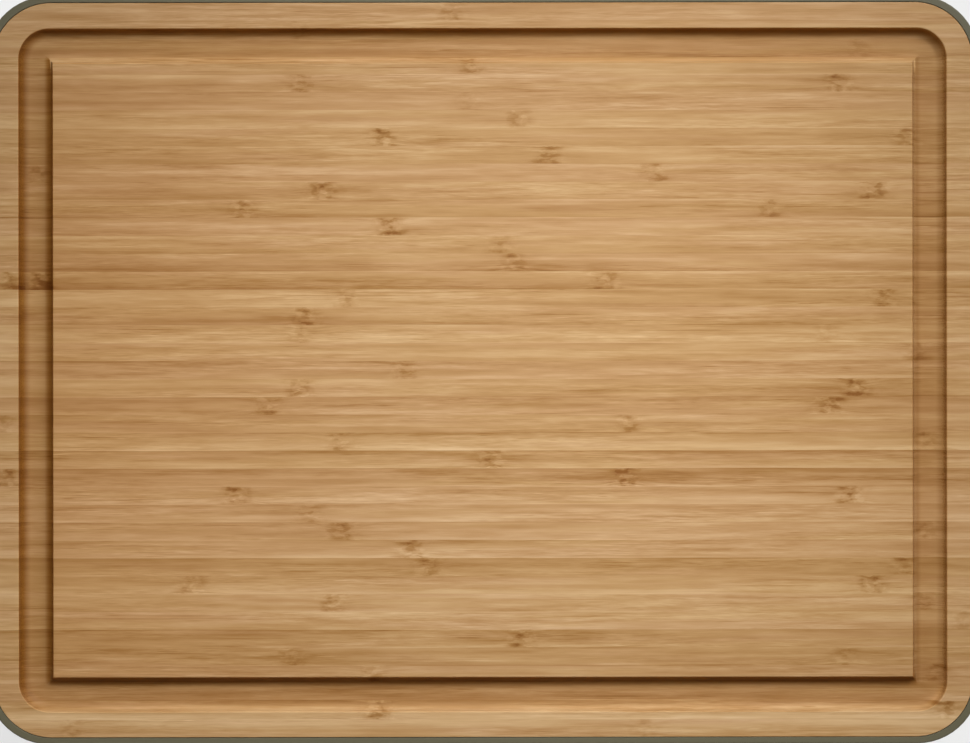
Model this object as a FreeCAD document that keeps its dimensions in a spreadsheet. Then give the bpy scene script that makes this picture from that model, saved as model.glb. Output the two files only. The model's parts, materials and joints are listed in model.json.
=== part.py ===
import FreeCAD, Part
import math
import os
import re
import Sketcher

# A bamboo cutting board that lies in a shallow housing with two drawer trays under it.
# Millimetres. The origin is on the surface that the feet stand on, under the middle of the housing.
# +X runs along the length, the trays slide out towards -Y, and +Z is up.

DOC = FreeCAD.newDocument("cutting_board_with_trays")
SHEET = DOC.addObject("Spreadsheet::Sheet", "Sizes")

# Driving dimensions: name, value, what it measures
SIZES = (
    ("housing_length", 365, "housing, outside, left to right"),
    ("housing_depth", 275, "housing, outside, front to back"),
    ("housing_corner", 23, "outside radius of the housing's upright corners"),
    ("housing_wall", 2.4, "thickness of the housing's wall, which shows as the rim"),
    ("rim_round", 0.6, "rounding of the rim's outer top edge"),
    ("well_corner", 21.6, "radius of the upright corners of the well that the board lies in"),
    ("well_round", 0.2, "rounding of the well's top edge"),
    ("ledge_width", 6, "how far the board's ledge reaches in from the wall"),
    ("ledge_thickness", 2.4, "thickness of that ledge"),
    ("boss_height", 16, "height of the screw bosses on the wall"),
    ("side_boss_share", 0.62, "place of the side bosses, of the half straight side"),
    ("back_boss_share", 0.5, "place of the back bosses, of the half length"),
    ("base_thickness", 2.4, "bottom plate"),
    ("base_round", 0.8, "rounding of the bottom plate's lower edge"),
    ("foot_stand", 3, "how far the feet stand out below the bottom plate"),
    ("foot_recess", 1, "how deep the feet sit in the bottom plate"),
    ("foot_radius", 9, "rubber foot"),
    ("foot_round", 0.8, "rounding of the foot's lower edge"),
    ("foot_inset", 30, "from the housing's sides to a foot's middle"),
    ("partition_thickness", 6, "upright panel between the trays"),
    ("partition_hole_share", 0.85, "place of the outer screws in it, of the half straight side"),
    ("runner_web", 2, "runner, the part that lies on the wall"),
    ("runner_shelf", 2, "runner, its shelf and its lip"),
    ("runner_room", 0.3, "from the runner's top to the ledge"),
    ("runner_end_gap", 2.5, "from the runner's ends to where the housing's corners begin"),
    ("channel_depth", 6, "runner, depth of its channel"),
    ("pin_radius", 1.2, "moulded pins that the runners are pressed on"),
    ("pin_share", 0.8, "place of the outer pins, of the half runner"),
    ("stop_length", 10, "stop clip, along the runner"),
    ("stop_thickness", 1.8, "stop clip, off the web"),
    ("stop_ramp", 4, "length of the stop clip's ramp"),
    ("stud_radius", 1, "stop clip, the stud that holds it in the web"),
    ("tray_rise", 1, "from the bottom plate to the tray"),
    ("tray_height", 36, "tray, outside"),
    ("tray_wall", 1.8, "tray, its walls"),
    ("tray_floor", 2, "tray, its floor"),
    ("tray_round", 4, "rounding between the tray's floor and walls, inside"),
    ("flange_thickness", 2.4, "flange along the tray's sides"),
    ("lug_length", 41.3, "wide back part of the flange, which meets the stop clip"),
    ("front_thickness", 3, "tray front"),
    ("front_gap", 0.8, "gap between the tray front and the housing"),
    ("centre_gap", 1, "gap between the two tray fronts"),
    ("front_round", 0.6, "rounding of the tray front's outer edges"),
    ("notch_width", 72, "finger notch in the tray front's top edge"),
    ("notch_depth", 13, "finger notch, down from that edge"),
    ("notch_corner", 9, "finger notch, its lower corners"),
    ("front_boss_radius", 3.2, "boss on the tray front that locates the tray"),
    ("front_boss_share", 0.36, "place of these bosses, of the tray's width from its middle"),
    ("front_boss_rise", 14, "from the tray's underside up to these bosses' middle"),
    ("front_skin", 0.8, "what is left of the tray front under its screw holes"),
    ("board_thickness", 18, "cutting board"),
    ("board_gap", 0.2, "gap between the board and the rim"),
    ("board_proud", 0.1, "how far the board stands above the rim"),
    ("board_round", 0.3, "rounding of the board's edges"),
    ("groove_inset", 9.6, "from the board's edge to the juice groove"),
    ("groove_width", 12.2, "juice groove"),
    ("groove_depth", 4.2, "juice groove"),
    ("groove_round", 3.6, "rounding between the juice groove's floor and walls"),
    ("groove_corner", 11, "outer radius of the juice groove's corners"),
    ("pad_length", 40, "soft pad under the board"),
    ("pad_width", 3.6, "soft pad"),
    ("pad_recess", 1, "how deep a pad sits in the ledge"),
    ("pad_stand", 0.6, "how far a pad stands above the ledge"),
    ("pad_share", 0.62, "place of the pads, of the half length"),
    ("screw_shank", 1.4, "radius of every screw's shank"),
    ("screw_socket", 1.1, "radius of the hexagon socket in every screw's head"),
    ("screw_socket_depth", 0.9, "depth of that socket"),
    ("base_screw_head", 2.9, "countersunk head's radius"),
    ("base_screw_length", 12, "countersunk screw, whole"),
    ("front_screw_head", 4.4, "front screw's head radius"),
    ("front_screw_head_height", 1.6, "front screw's head height"),
    ("running_gap", 0.3, "clearance where a tray slides"),
    ("side_gap", 0.6, "from the tray's walls to the runners"),
    ("fit_gap", 0.1, "clearance of a part that is pressed or screwed in"),
    ("overrun", 5, "how far a cut runs past the solid"),
)
SIZE_NAMES = {name for name, value, note in SIZES}

# Places worked out from the sizes
PLACES = {
    "half_length": "housing_length / 2",
    "half_depth": "housing_depth / 2",
    "straight_half_depth": "half_depth - housing_corner",
    "inner_half_length": "half_length - housing_wall",
    "inner_half_depth": "half_depth - housing_wall",
    "inner_corner": "housing_corner - housing_wall",
    "ledge_half_length": "inner_half_length - ledge_width",
    "ledge_half_depth": "inner_half_depth - ledge_width",
    "ledge_corner": "inner_corner - ledge_width",
    "runner_width": "runner_web + channel_depth",
    "runner_half": "straight_half_depth - runner_end_gap",
    "partition_half": "partition_thickness / 2",
    # Heights, from the surface up
    "base_top": "foot_stand + base_thickness",
    "tray_bottom": "base_top + tray_rise",
    "tray_inside": "tray_bottom + tray_floor",
    "tray_top": "tray_bottom + tray_height",
    "flange_bottom": "tray_top - flange_thickness",
    "channel_bottom": "flange_bottom - running_gap",
    "channel_top": "tray_top + running_gap",
    "channel_middle": "(channel_bottom + channel_top) / 2",
    "runner_bottom": "channel_bottom - runner_shelf",
    "runner_top": "channel_top + runner_shelf",
    "ledge_bottom": "runner_top + runner_room",
    "ledge_top": "ledge_bottom + ledge_thickness",
    "board_bottom": "ledge_top + pad_stand",
    "board_top": "board_bottom + board_thickness",
    "rim_top": "board_top - board_proud",
    "front_bottom": "base_top + front_gap",
    "front_top": "ledge_bottom - front_gap",
    "notch_bottom": "front_top - notch_depth",
    # The right tray, seen from above
    "tray_inner": "partition_half + runner_width + side_gap",
    "tray_outer": "inner_half_length - runner_width - side_gap",
    "tray_middle": "(tray_inner + tray_outer) / 2",
    "tray_front": "half_depth - front_thickness",
    "tray_back": "inner_half_depth - runner_width - side_gap",
    "tray_corner": "inner_corner - runner_width - side_gap",
    "flange_reach": "side_gap + channel_depth - stop_thickness - running_gap",
    "lug_reach": "side_gap + channel_depth - running_gap",
    "flange_back": "runner_half - runner_end_gap",
    "lug_front": "flange_back - lug_length",
    "front_boss_off": "front_boss_share * (tray_outer - tray_inner)",
    "front_boss_height": "tray_bottom + front_boss_rise",
    "front_boss_back": "tray_front - tray_wall",
    "front_screw_depth": "tray_wall + front_thickness - front_skin",
    # The board and its groove
    "board_half_length": "inner_half_length - board_gap",
    "board_half_depth": "inner_half_depth - board_gap",
    "board_corner": "well_corner - board_gap",
    "groove_half": "groove_width / 2",
    "groove_low": "board_top - groove_depth",
    "groove_flat_half": "groove_half - groove_round",
    "groove_turn": "groove_corner - groove_half",
    "groove_turn_reach": "min(groove_turn; groove_half)",
    "groove_turn_climb": "max(groove_turn_reach - groove_flat_half; 0)",
    "groove_turn_rise": "groove_round - sqrt(groove_round ^ 2 - groove_turn_climb ^ 2)",
    "groove_end_x": "board_half_length - groove_inset - groove_corner",
    "groove_end_y": "board_half_depth - groove_inset - groove_corner",
    "groove_line_x": "board_half_length - groove_inset - groove_half",
    "groove_line_y": "board_half_depth - groove_inset - groove_half",
    # Fasteners, feet and pads
    "boss_half": "runner_width / 2",
    "side_boss_x": "inner_half_length - boss_half",
    "side_boss_y": "side_boss_share * straight_half_depth",
    "back_boss_x": "back_boss_share * half_length",
    "back_boss_y": "inner_half_depth - boss_half",
    "partition_hole_y": "partition_hole_share * straight_half_depth",
    "screw_hole": "screw_shank + fit_gap",
    "base_screw_hole_depth": "base_screw_length - base_thickness + fit_gap",
    "base_screw_cone": "base_screw_head - screw_shank",
    "foot_x": "half_length - foot_inset",
    "foot_y": "half_depth - foot_inset",
    "pad_x": "pad_share * half_length",
    "pad_y": "inner_half_depth - ledge_width / 2",
    "pin_y": "pin_share * runner_half",
    "stop_middle": "runner_half - stop_length / 2",
}

SIDES = (("left", -1), ("right", 1))
ENDS = (("front", -1), ("back", 1))
CORNERS = [(f"{end}_{side}", x, y) for end, y in ENDS for side, x in SIDES]
BOTH_WAYS = (-1, 1)
INWARD = "inward"
SAME_PLACE = 1e-4  # edges nearer to a plane than this lie on it
NODES = []


def fill_sheet():
    for row, (name, value, note) in enumerate(SIZES, start=1):
        SHEET.set(f"A{row}", note)
        SHEET.set(f"B{row}", str(value))
        SHEET.setAlias(f"B{row}", name)
    DOC.recompute()


def formula(text):
    """The text as an expression on the sheet, with each place spelled out in sizes."""
    def spell(match):
        word = match.group()
        if word in PLACES:
            return f"({formula(PLACES[word])})"
        return f"Sizes.{word}" if word in SIZE_NAMES else word
    return re.sub("[a-z_]+", spell, text)


def amount(text):
    return float(SHEET.evalExpression(formula(text)))


def new_body(label):
    body = DOC.addObject("PartDesign::Body", label)
    body.Label = label
    NODES.append(body)
    return body


def origin_plane(body, role):
    return next(plane for plane in body.Origin.OriginFeatures if plane.Role == role)


def new_sketch(body, plane, offset="0", across="0"):
    """An empty sketch, moved off its plane along the plane's normal, and across it."""
    sketch = body.newObject("Sketcher::SketchObject", "outline")
    sketch.AttachmentSupport = (origin_plane(body, plane), [""])
    sketch.MapMode = "FlatFace"
    sketch.setExpression("AttachmentOffset.Base.x", formula(across))
    sketch.setExpression("AttachmentOffset.Base.z", formula(offset))
    return sketch


def tie_point(sketch, edge, end, point):
    """Ties one end of an edge to its distance across and up from the sketch's origin."""
    for kind, text in zip(("DistanceX", "DistanceY"), point):
        tie = sketch.addConstraint(Sketcher.Constraint(kind, -1, 1, edge, end, amount(text)))
        sketch.setExpression(f"Constraints[{tie}]", formula(text))


def tie_radius(sketch, edge, text):
    tie = sketch.addConstraint(Sketcher.Constraint("Radius", edge, amount(text)))
    sketch.setExpression(f"Constraints[{tie}]", formula(text))


def arc_between(start, end, radius):
    """The shorter arc that runs anticlockwise from start to end."""
    chord = end - start
    middle = (start + end) / 2
    height = math.sqrt(max(0, radius ** 2 - chord.Length ** 2 / 4))
    normal = FreeCAD.Vector(-chord.y, chord.x, 0).normalize()
    centre = middle + normal * height
    angles = [math.atan2(point.y - centre.y, point.x - centre.x) for point in (start, end)]
    circle = Part.Circle(centre, FreeCAD.Vector(0, 0, 1), radius)
    return Part.ArcOfCircle(circle, angles[0], angles[1])


def draw(sketch, corners, mirror=1):
    """A closed outline, anticlockwise. Each corner is (across, up), and (across, up, radius) where
    an arc leaves it, which bulges outward unless INWARD follows. Mirror -1 turns left into right."""
    count = len(corners)
    first = sketch.GeometryCount
    places = [(f"{mirror} * ({corner[0]})", corner[1]) for corner in corners]
    points = [FreeCAD.Vector(amount(x), amount(y), 0) for x, y in places]
    starts = []
    for index, corner in enumerate(corners):
        here = points[index]
        ahead = points[(index + 1) % count]
        if len(corner) == 2:
            sketch.addGeometry(Part.LineSegment(here, ahead), False)
            starts.append((1, 2))
            continue
        clockwise = (INWARD in corner) != (mirror < 0)
        ends = (ahead, here) if clockwise else (here, ahead)
        sketch.addGeometry(arc_between(*ends, amount(corner[2])), False)
        starts.append((2, 1) if clockwise else (1, 2))
    for index, corner in enumerate(corners):
        edge = first + index
        follower = (index + 1) % count
        join = (edge, starts[index][1], first + follower, starts[follower][0])
        sketch.addConstraint(Sketcher.Constraint("Coincident", *join))
        tie_point(sketch, edge, starts[index][0], places[index])
        if len(corner) > 2:
            tie_radius(sketch, edge, corner[2])


def draw_circle(sketch, across, up, radius):
    centre = FreeCAD.Vector(amount(across), amount(up), 0)
    circle = Part.Circle(centre, FreeCAD.Vector(0, 0, 1), amount(radius))
    edge = sketch.addGeometry(circle, False)
    tie_point(sketch, edge, 3, (across, up))
    tie_radius(sketch, edge, radius)


def rectangle(left, right, low, high):
    return [(left, low), (right, low), (right, high), (left, high)]


def rounded(left, right, low, high, radius):
    return [
        (f"{left} + {radius}", low),
        (f"{right} - {radius}", low, radius),
        (right, f"{low} + {radius}"),
        (right, f"{high} - {radius}", radius),
        (f"{right} - {radius}", high),
        (f"{left} + {radius}", high, radius),
        (left, f"{high} - {radius}"),
        (left, f"{low} + {radius}", radius),
    ]


def centred(half_length, half_depth, radius):
    return rounded(f"-{half_length}", half_length, f"-{half_depth}", half_depth, radius)


def trough(middle, half_width, low, top, radius):
    """An outline that is open at the top, with round lower corners."""
    left = f"{middle} - {half_width}"
    right = f"{middle} + {half_width}"
    return [
        (left, top),
        (left, f"{low} + {radius}", radius),
        (f"{left} + {radius}", low),
        (f"{right} - {radius}", low, radius),
        (right, f"{low} + {radius}"),
        (right, top),
    ]


def notch(middle, top):
    """The finger notch in a tray's front."""
    return trough(middle, "notch_width / 2", "notch_bottom", top, "notch_corner")


def pad(body, sketch, length, reverse=False, symmetric=False):
    feature = body.newObject("PartDesign::Pad", "pad")
    feature.Profile = sketch
    feature.Reversed = reverse
    if symmetric:
        feature.SideType = "Symmetric"
    feature.setExpression("Length", formula(length))
    DOC.recompute()
    return feature


def finish_cut(body, volume_before):
    DOC.recompute()
    if not body.Shape.Volume < volume_before:
        raise ValueError(f"a cut in {body.Label} takes nothing away")


def pocket(body, sketch, depth, reverse=False, symmetric=False):
    volume = body.Shape.Volume
    feature = body.newObject("PartDesign::Pocket", "pocket")
    feature.Profile = sketch
    feature.Reversed = reverse
    if symmetric:
        feature.SideType = "Symmetric"
    feature.setExpression("Length", formula(depth))
    finish_cut(body, volume)


def turned_cut(body, sketch, angle, reverse=False):
    """Cuts along a turn about the sketch's upright axis."""
    volume = body.Shape.Volume
    feature = body.newObject("PartDesign::Groove", "turned_cut")
    feature.Profile = sketch
    feature.ReferenceAxis = (sketch, ["V_Axis"])
    feature.Angle = angle
    feature.Reversed = reverse
    finish_cut(body, volume)


def fillet(body, radius, chosen):
    """Rounds the edges of the body that the test picks."""
    DOC.recompute()
    base = body.Tip
    names = [f"Edge{n}" for n, edge in enumerate(base.Shape.Edges, start=1) if chosen(edge)]
    feature = body.newObject("PartDesign::Fillet", "round")
    feature.Base = (base, names)
    feature.setExpression("Radius", formula(radius))
    DOC.recompute()


def level(height):
    """A test for edges that lie flat at a height."""
    z = amount(height)

    def chosen(edge):
        box = edge.BoundBox
        return abs(box.ZMin - z) < SAME_PLACE and abs(box.ZMax - z) < SAME_PLACE
    return chosen


def rim_edges(inside):
    """A test for the rim's top edges: those round the well, or those outside."""
    flat = level("rim_top")
    half_length = amount("inner_half_length") + SAME_PLACE
    half_depth = amount("inner_half_depth") + SAME_PLACE

    def chosen(edge):
        box = edge.BoundBox
        reach_x = max(box.XMax, -box.XMin)
        reach_y = max(box.YMax, -box.YMin)
        return flat(edge) and inside == (reach_x < half_length and reach_y < half_depth)
    return chosen


def make_board():
    board = new_body("cutting_board")
    sketch = new_sketch(board, "XY_Plane", "board_bottom")
    draw(sketch, centred("board_half_length", "board_half_depth", "board_corner"))
    pad(board, sketch, "board_thickness")
    for height in ("board_top", "board_bottom"):
        fillet(board, "board_round", level(height))
    # The four straight runs of the juice groove, which has a flat floor and round lower corners
    runs = (("YZ_Plane", "groove_line_y", "groove_end_x"), ("XZ_Plane", "groove_line_x", "groove_end_y"))
    for plane, line, end in runs:
        for sign in BOTH_WAYS:
            sketch = new_sketch(board, plane)
            section = trough(line, "groove_half", "groove_low", "board_top + overrun", "groove_round")
            draw(sketch, section, sign)
            pocket(board, sketch, f"2 * {end}", symmetric=True)
    # The groove's corners, where the same section turns a quarter circle. What would lie past the
    # turn's axis is left out, so the raised middle keeps a sharp corner.
    inside = "groove_turn - groove_turn_reach"
    inner_side = [(inside, "board_top + overrun"), (inside, "groove_low + groove_turn_rise")]
    if amount("groove_turn_climb") > 0:
        inner_side[-1] += ("groove_round",)
        inner_side.append(("groove_turn - groove_flat_half", "groove_low"))
    for name, x, y in CORNERS:
        sketch = new_sketch(board, "XZ_Plane", f"{-y} * groove_end_y", f"{x} * groove_end_x")
        draw(sketch, inner_side + [
            ("groove_corner - groove_round", "groove_low", "groove_round"),
            ("groove_corner", "groove_low + groove_round"),
            ("groove_corner", "board_top + overrun"),
        ], x)
        turned_cut(board, sketch, 90, reverse=x * y < 0)


def make_shell():
    shell = new_body("housing_shell")
    sketch = new_sketch(shell, "XY_Plane", "base_top")
    draw(sketch, centred("half_length", "half_depth", "housing_corner"))
    draw(sketch, centred("ledge_half_length", "ledge_half_depth", "ledge_corner"))
    pad(shell, sketch, "rim_top - base_top")
    # The well that the board lies in, and the room for the trays under the ledge
    sketch = new_sketch(shell, "XY_Plane", "rim_top")
    draw(sketch, centred("inner_half_length", "inner_half_depth", "well_corner"))
    pocket(shell, sketch, "rim_top - ledge_top")
    sketch = new_sketch(shell, "XY_Plane", "base_top")
    draw(sketch, centred("inner_half_length", "inner_half_depth", "inner_corner"))
    pocket(shell, sketch, "ledge_bottom - base_top", reverse=True)
    fillet(shell, "rim_round", rim_edges(inside=False))
    fillet(shell, "well_round", rim_edges(inside=True))
    # The open front, as wide as the tray fronts that wrap round the corners
    sketch = new_sketch(shell, "XY_Plane", "base_top")
    reach = "half_length + overrun"
    draw(sketch, rectangle(f"-({reach})", reach, "-half_depth - overrun", "front_gap - straight_half_depth"))
    pocket(shell, sketch, "ledge_bottom - base_top", reverse=True)
    # Bosses for the base screws on the side walls and the back wall, and their holes
    sketch = new_sketch(shell, "XY_Plane", "base_top")
    holes = new_sketch(shell, "XY_Plane", "base_top")
    for x in BOTH_WAYS:
        for y in BOTH_WAYS:
            middle = f"{y} * side_boss_y"
            draw(sketch, [
                ("inner_half_length + housing_wall / 2", f"{middle} + boss_half"),
                ("side_boss_x", f"{middle} + boss_half", "boss_half"),
                ("side_boss_x - boss_half", middle, "boss_half"),
                ("side_boss_x", f"{middle} - boss_half"),
                ("inner_half_length + housing_wall / 2", f"{middle} - boss_half"),
            ], x)
            draw_circle(holes, f"{x} * side_boss_x", middle, "screw_hole")
        draw(sketch, [
            ("back_boss_x + boss_half", "inner_half_depth + housing_wall / 2"),
            ("back_boss_x - boss_half", "inner_half_depth + housing_wall / 2"),
            ("back_boss_x - boss_half", "back_boss_y", "boss_half"),
            ("back_boss_x", "back_boss_y - boss_half", "boss_half"),
            ("back_boss_x + boss_half", "back_boss_y"),
        ], x)
        draw_circle(holes, f"{x} * back_boss_x", "back_boss_y", "screw_hole")
    pad(shell, sketch, "boss_height")
    pocket(shell, holes, "base_screw_hole_depth", reverse=True)
    # Recesses in the ledge for the board's pads
    sketch = new_sketch(shell, "XY_Plane", "ledge_top")
    for name, x, y in CORNERS:
        draw_pad(sketch, x, y, "fit_gap")
    pocket(shell, sketch, "pad_recess")
    # Pins on the side walls for the outer runners
    for x in BOTH_WAYS:
        add_pins(shell, f"{x} * inner_half_length", x > 0)


def draw_pad(sketch, x, y, gap):
    """A board pad's outline, with half-round ends, a gap larger all round."""
    radius = f"(pad_width / 2 + {gap})"
    half = f"(pad_length / 2 + {gap} - {radius})"
    draw(sketch, [
        (f"{x} * pad_x - {half}", f"{y} * pad_y - {radius}"),
        (f"{x} * pad_x + {half}", f"{y} * pad_y - {radius}", radius),
        (f"{x} * pad_x + {half} + {radius}", f"{y} * pad_y", radius),
        (f"{x} * pad_x + {half}", f"{y} * pad_y + {radius}"),
        (f"{x} * pad_x - {half}", f"{y} * pad_y + {radius}", radius),
        (f"{x} * pad_x - {half} - {radius}", f"{y} * pad_y", radius),
    ])


def add_pins(body, place, reverse):
    """Three pins on an upright wall, as long as the runner's web is thick."""
    sketch = new_sketch(body, "YZ_Plane", place)
    for y in ("-pin_y", "0", "pin_y"):
        draw_circle(sketch, y, "channel_middle", "pin_radius")
    pad(body, sketch, "runner_web", reverse)


def make_base():
    base = new_body("base_panel")
    sketch = new_sketch(base, "XY_Plane", "foot_stand")
    draw(sketch, centred("half_length", "half_depth", "housing_corner"))
    pad(base, sketch, "base_thickness")
    fillet(base, "base_round", level("foot_stand"))
    sketch = new_sketch(base, "XY_Plane", "foot_stand")
    for name, x, y in CORNERS:
        draw_circle(sketch, f"{x} * foot_x", f"{y} * foot_y", "foot_radius + fit_gap")
    pocket(base, sketch, "foot_recess", reverse=True)
    # Holes for the base screws, then their countersinks
    for x, y in base_screw_places():
        sketch = new_sketch(base, "XY_Plane", "foot_stand")
        draw_circle(sketch, x, y, "screw_hole")
        pocket(base, sketch, "base_thickness", reverse=True)
        sketch = new_sketch(base, "XZ_Plane", f"-({y})", x)
        draw(sketch, [
            ("0", "foot_stand - overrun"),
            ("base_screw_head + fit_gap", "foot_stand - overrun"),
            ("base_screw_head + fit_gap", "foot_stand"),
            ("screw_hole", "foot_stand + base_screw_cone"),
            ("0", "foot_stand + base_screw_cone"),
        ])
        turned_cut(base, sketch, 360)


def base_screw_places():
    places = [("0", y) for y in ("-partition_hole_y", "0", "partition_hole_y")]
    for x in BOTH_WAYS:
        places += [(f"{x} * side_boss_x", f"{y} * side_boss_y") for y in BOTH_WAYS]
        places.append((f"{x} * back_boss_x", "back_boss_y"))
    return places


def make_partition():
    partition = new_body("partition")
    sketch = new_sketch(partition, "YZ_Plane")
    front = "front_gap - tray_front"
    shoulder = "ledge_half_depth - fit_gap"
    draw(sketch, [
        (front, "base_top"),
        ("inner_half_depth", "base_top"),
        ("inner_half_depth", "ledge_bottom"),
        (shoulder, "ledge_bottom"),
        (shoulder, "ledge_top"),
        (f"-({shoulder})", "ledge_top"),
        (f"-({shoulder})", "ledge_bottom"),
        (front, "ledge_bottom"),
    ])
    pad(partition, sketch, "partition_thickness", symmetric=True)
    sketch = new_sketch(partition, "XY_Plane", "base_top")
    for y in ("-partition_hole_y", "0", "partition_hole_y"):
        draw_circle(sketch, "0", y, "screw_hole")
    pocket(partition, sketch, "base_screw_hole_depth", reverse=True)
    for x in BOTH_WAYS:
        add_pins(partition, f"{x} * partition_half", x < 0)


def make_runner(side, place, wall, inward):
    """A channel along the tray's path. Its web lies on the wall, and it opens inward, -1 or 1 in X."""
    runner = new_body(f"runner_{side}_{place}")
    sketch = new_sketch(runner, "XZ_Plane")
    # Distances are taken off the wall, so the outline is mirrored where the channel opens to -X
    off = f"{inward} * ({wall})"
    draw(sketch, [
        (off, "runner_bottom"),
        (f"{off} + runner_width", "runner_bottom"),
        (f"{off} + runner_width", "channel_bottom"),
        (f"{off} + runner_web", "channel_bottom"),
        (f"{off} + runner_web", "channel_top"),
        (f"{off} + runner_width", "channel_top"),
        (f"{off} + runner_width", "runner_top"),
        (off, "runner_top"),
    ], inward)
    pad(runner, sketch, "2 * runner_half", symmetric=True)
    holes = new_sketch(runner, "YZ_Plane", wall)
    for y in ("-pin_y", "0", "pin_y"):
        draw_circle(holes, y, "channel_middle", "pin_radius + fit_gap")
    draw_circle(holes, "-stop_middle", "channel_middle", "stud_radius + fit_gap")
    pocket(runner, holes, "runner_web", reverse=inward > 0)


def make_stop(side, place, wall, inward):
    """A clip on the runner's web, near the front end, with a ramp and a stud."""
    stop = new_body(f"stop_{side}_{place}")
    sketch = new_sketch(stop, "XY_Plane", "channel_bottom + fit_gap")
    web = f"{inward} * ({wall}) + runner_web"
    draw(sketch, [
        (web, "-runner_half"),
        (f"{web} + stop_thickness / 2", "-runner_half"),
        (f"{web} + stop_thickness", "stop_ramp - runner_half"),
        (f"{web} + stop_thickness", "stop_length - runner_half"),
        (web, "stop_length - runner_half"),
    ], inward)
    pad(stop, sketch, "channel_top - channel_bottom - 2 * fit_gap")
    stud = new_sketch(stop, "YZ_Plane", f"{wall} + {inward} * runner_web")
    draw_circle(stud, "-stop_middle", "channel_middle", "stud_radius")
    pad(stop, stud, "runner_web", reverse=inward > 0)


def make_tray(side, mirror):
    """A moulded tub that hangs by its flanges in two runners."""
    tray = new_body(f"tray_{side}")
    sketch = new_sketch(tray, "XY_Plane", "tray_bottom")
    draw(sketch, rounded("tray_inner", "tray_outer", "-tray_front", "tray_back", "tray_corner"), mirror)
    pad(tray, sketch, "tray_height")
    sketch = new_sketch(tray, "XY_Plane", "tray_top")
    inside = rounded("tray_inner + tray_wall", "tray_outer - tray_wall", "tray_wall - tray_front",
                     "tray_back - tray_wall", "(tray_corner - tray_wall)")
    draw(sketch, inside, mirror)
    pocket(tray, sketch, "tray_height - tray_floor")
    fillet(tray, "tray_round", level("tray_inside"))
    # The flanges start inside the wall, and widen to the lug at the back
    sketch = new_sketch(tray, "XY_Plane", "flange_bottom")
    for edge, out in (("tray_outer", 1), ("tray_inner", -1)):
        draw(sketch, [
            (f"{out} * {edge} - tray_wall", "-runner_half"),
            (f"{out} * {edge} + flange_reach", "-runner_half"),
            (f"{out} * {edge} + flange_reach", "lug_front"),
            (f"{out} * {edge} + lug_reach", "lug_front"),
            (f"{out} * {edge} + lug_reach", "flange_back"),
            (f"{out} * {edge} - tray_wall", "flange_back"),
        ], mirror * out)
    pad(tray, sketch, "flange_thickness")
    # The finger notch and the holes for the front's bosses, in the front wall
    sketch = new_sketch(tray, "XZ_Plane", "tray_front")
    draw(sketch, notch(f"{mirror} * tray_middle", "tray_top + overrun"))
    for x in BOTH_WAYS:
        place = f"{mirror} * tray_middle + {x} * front_boss_off"
        draw_circle(sketch, place, "front_boss_height", "front_boss_radius + fit_gap")
    pocket(tray, sketch, "tray_wall + fit_gap")


def make_front(side, mirror):
    """A tray front, flush with the housing, that wraps round its corner."""
    front = new_body(f"front_{side}")
    sketch = new_sketch(front, "XY_Plane", "front_bottom")
    draw(sketch, [
        ("centre_gap / 2", "-half_depth"),
        ("half_length - housing_corner", "-half_depth", "housing_corner"),
        ("half_length", "-straight_half_depth"),
        ("half_length - front_thickness", "-straight_half_depth",
         "housing_corner - front_thickness", INWARD),
        ("half_length - housing_corner", "-tray_front"),
        ("centre_gap / 2", "-tray_front"),
    ], mirror)
    pad(front, sketch, "front_top - front_bottom")
    sketch = new_sketch(front, "XZ_Plane", "half_depth")
    draw(sketch, notch(f"{mirror} * tray_middle", "front_top + overrun"))
    pocket(front, sketch, "front_thickness")
    outer_face = -amount("half_depth")
    fillet(front, "front_round", lambda edge: edge.BoundBox.YMax < outer_face + SAME_PLACE)
    # Bosses that go through the tray's front wall, with a screw hole in each
    bosses = new_sketch(front, "XZ_Plane", "tray_front")
    holes = new_sketch(front, "XZ_Plane", "front_boss_back")
    for x in BOTH_WAYS:
        place = f"{mirror} * tray_middle + {x} * front_boss_off"
        draw_circle(bosses, place, "front_boss_height", "front_boss_radius")
        draw_circle(holes, place, "front_boss_height", "screw_hole")
    pad(front, bosses, "tray_wall", reverse=True)
    pocket(front, holes, "front_screw_depth", reverse=True)


def make_foot(name, x, y):
    foot = new_body(f"foot_{name}")
    sketch = new_sketch(foot, "XY_Plane")
    draw_circle(sketch, f"{x} * foot_x", f"{y} * foot_y", "foot_radius")
    pad(foot, sketch, "foot_stand + foot_recess")
    fillet(foot, "foot_round", level("0"))


def make_board_pad(name, x, y):
    soft = new_body(f"board_pad_{name}")
    sketch = new_sketch(soft, "XY_Plane", "ledge_top - pad_recess")
    draw_pad(sketch, x, y, "0")
    pad(soft, sketch, "pad_recess + pad_stand")


def primitive(kind, sizes):
    solid = DOC.addObject(f"Part::{kind}", kind.lower())
    for name, text in sizes.items():
        solid.setExpression(name, formula(text))
    return solid


def combine(kind, base, tool):
    result = DOC.addObject(f"Part::{kind}", kind.lower())
    result.Base = base
    result.Tool = tool
    return result


def place_at(solid, place, turn=FreeCAD.Rotation()):
    solid.Placement = FreeCAD.Placement(FreeCAD.Vector(), turn)
    for axis, text in zip("xyz", place):
        solid.setExpression(f"Placement.Base.{axis}", formula(text))


def make_screw(head, socket_start, shank_length, place, turn):
    """A screw that points along its own +Z, with its head's outer face at zero."""
    shank = primitive("Cylinder", {"Radius": "screw_shank", "Height": shank_length})
    socket = primitive("Prism", {"Circumradius": "screw_socket", "Height": "screw_socket_depth"})
    socket.Polygon = 6
    socket.setExpression("Placement.Base.z", formula(socket_start))
    screw = combine("Cut", combine("Fuse", head, shank), socket)
    place_at(screw, place, turn)
    return screw


def group(label, solids):
    """Separate solids that share one node."""
    node = DOC.addObject("Part::Compound", label)
    node.Label = label
    node.Links = solids
    NODES.append(node)


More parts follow.
